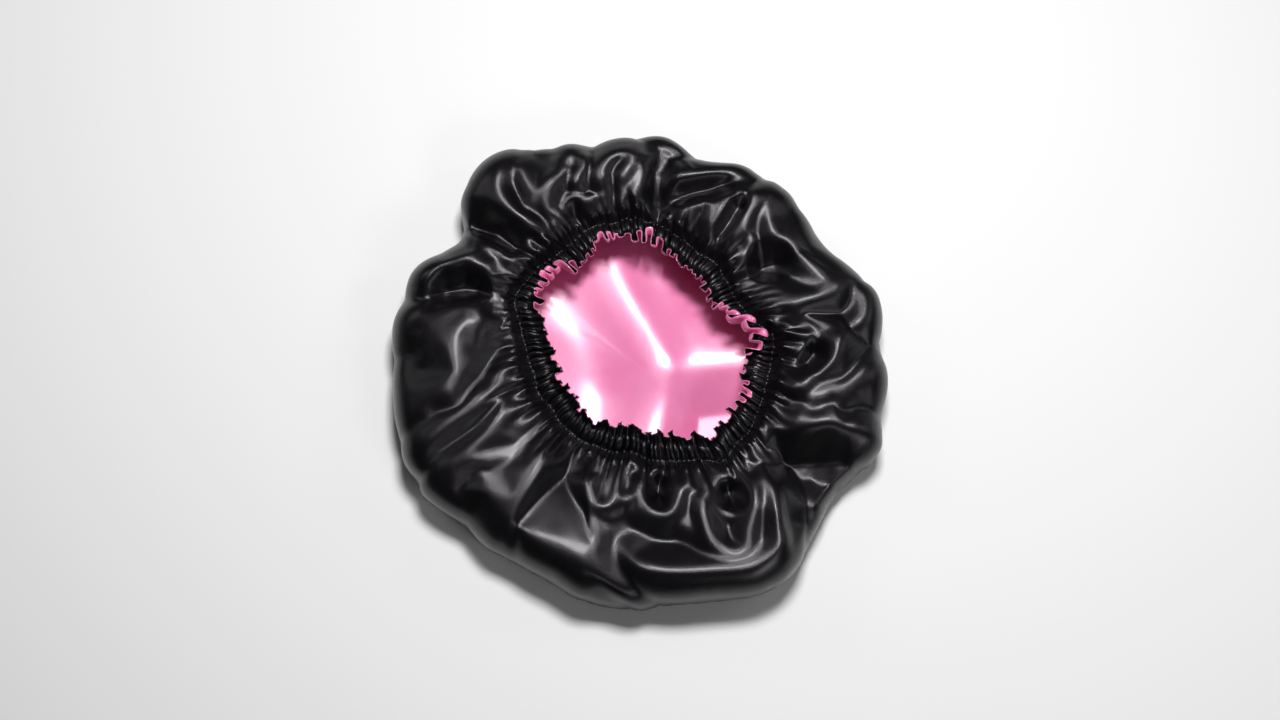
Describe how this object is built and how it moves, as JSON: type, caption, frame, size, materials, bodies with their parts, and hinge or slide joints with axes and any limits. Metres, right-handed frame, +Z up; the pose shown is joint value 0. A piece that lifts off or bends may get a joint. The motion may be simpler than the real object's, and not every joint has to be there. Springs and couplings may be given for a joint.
{
  "type": "sleep bonnet",
  "caption": "Reversible satin sleep bonnet lying on its crown, with black shell, pink lining and a gathered elastic edge ending in a small frill.",
  "frame": {"origin": "on the surface under the middle of the outline, with the crown lying on that surface", "axes": "+Z up through the opening, which faces up; +Y towards the far side in the picture; +X towards the picture's right"},
  "size_m": [0.3616, 0.3634, 0.0563],
  "materials": {
    "outer_shell": "black polyester satin, smooth side out, with soft grey highlights on the folds",
    "lining": "pink polyester satin, smooth and glossy",
    "elastic_band": "white braided elastic, matt"
  },
  "bodies": {
    "root": {"outer_shell": "outer_shell", "lining": "lining", "elastic_band": "elastic_band"}
  },
  "joints": []
}
